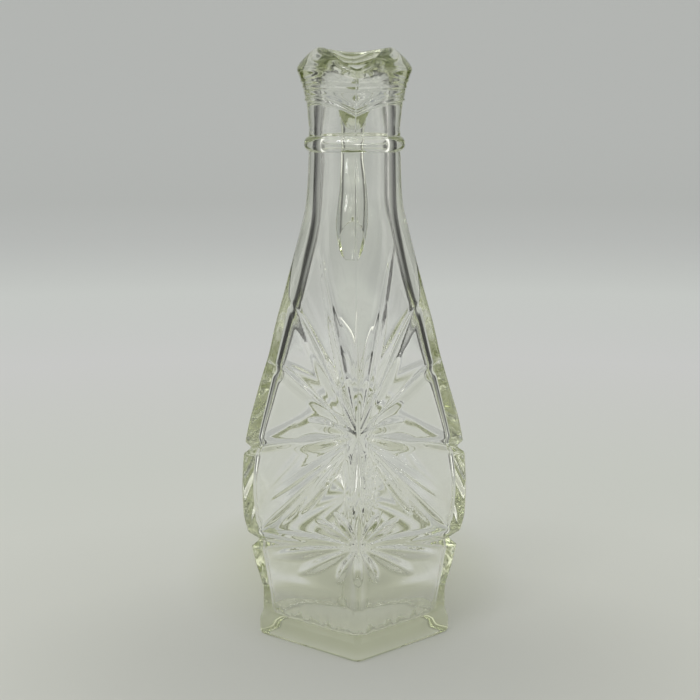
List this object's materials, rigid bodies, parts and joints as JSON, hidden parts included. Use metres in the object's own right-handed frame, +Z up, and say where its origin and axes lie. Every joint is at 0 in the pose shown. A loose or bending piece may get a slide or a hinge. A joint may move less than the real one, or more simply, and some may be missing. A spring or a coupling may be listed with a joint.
{
  "type": "glass cruet",
  "caption": "Square pressed-glass cruet with star cuts, long round neck, pouring lip and loop handle; empty and open at the mouth.",
  "frame": {"origin": "middle of the flat base, on the axis of body and neck", "axes": "+Z up along the neck, -Y towards the pouring spout, +Y towards the handle, +X to the right seen from the spout side"},
  "size_m": [0.0632, 0.064, 0.165],
  "materials": {
    "clear_glass": "clear pressed glass with a faint green tint in the thick parts"
  },
  "bodies": {
    "root": {"cruet_glass": "clear_glass"}
  },
  "joints": []
}
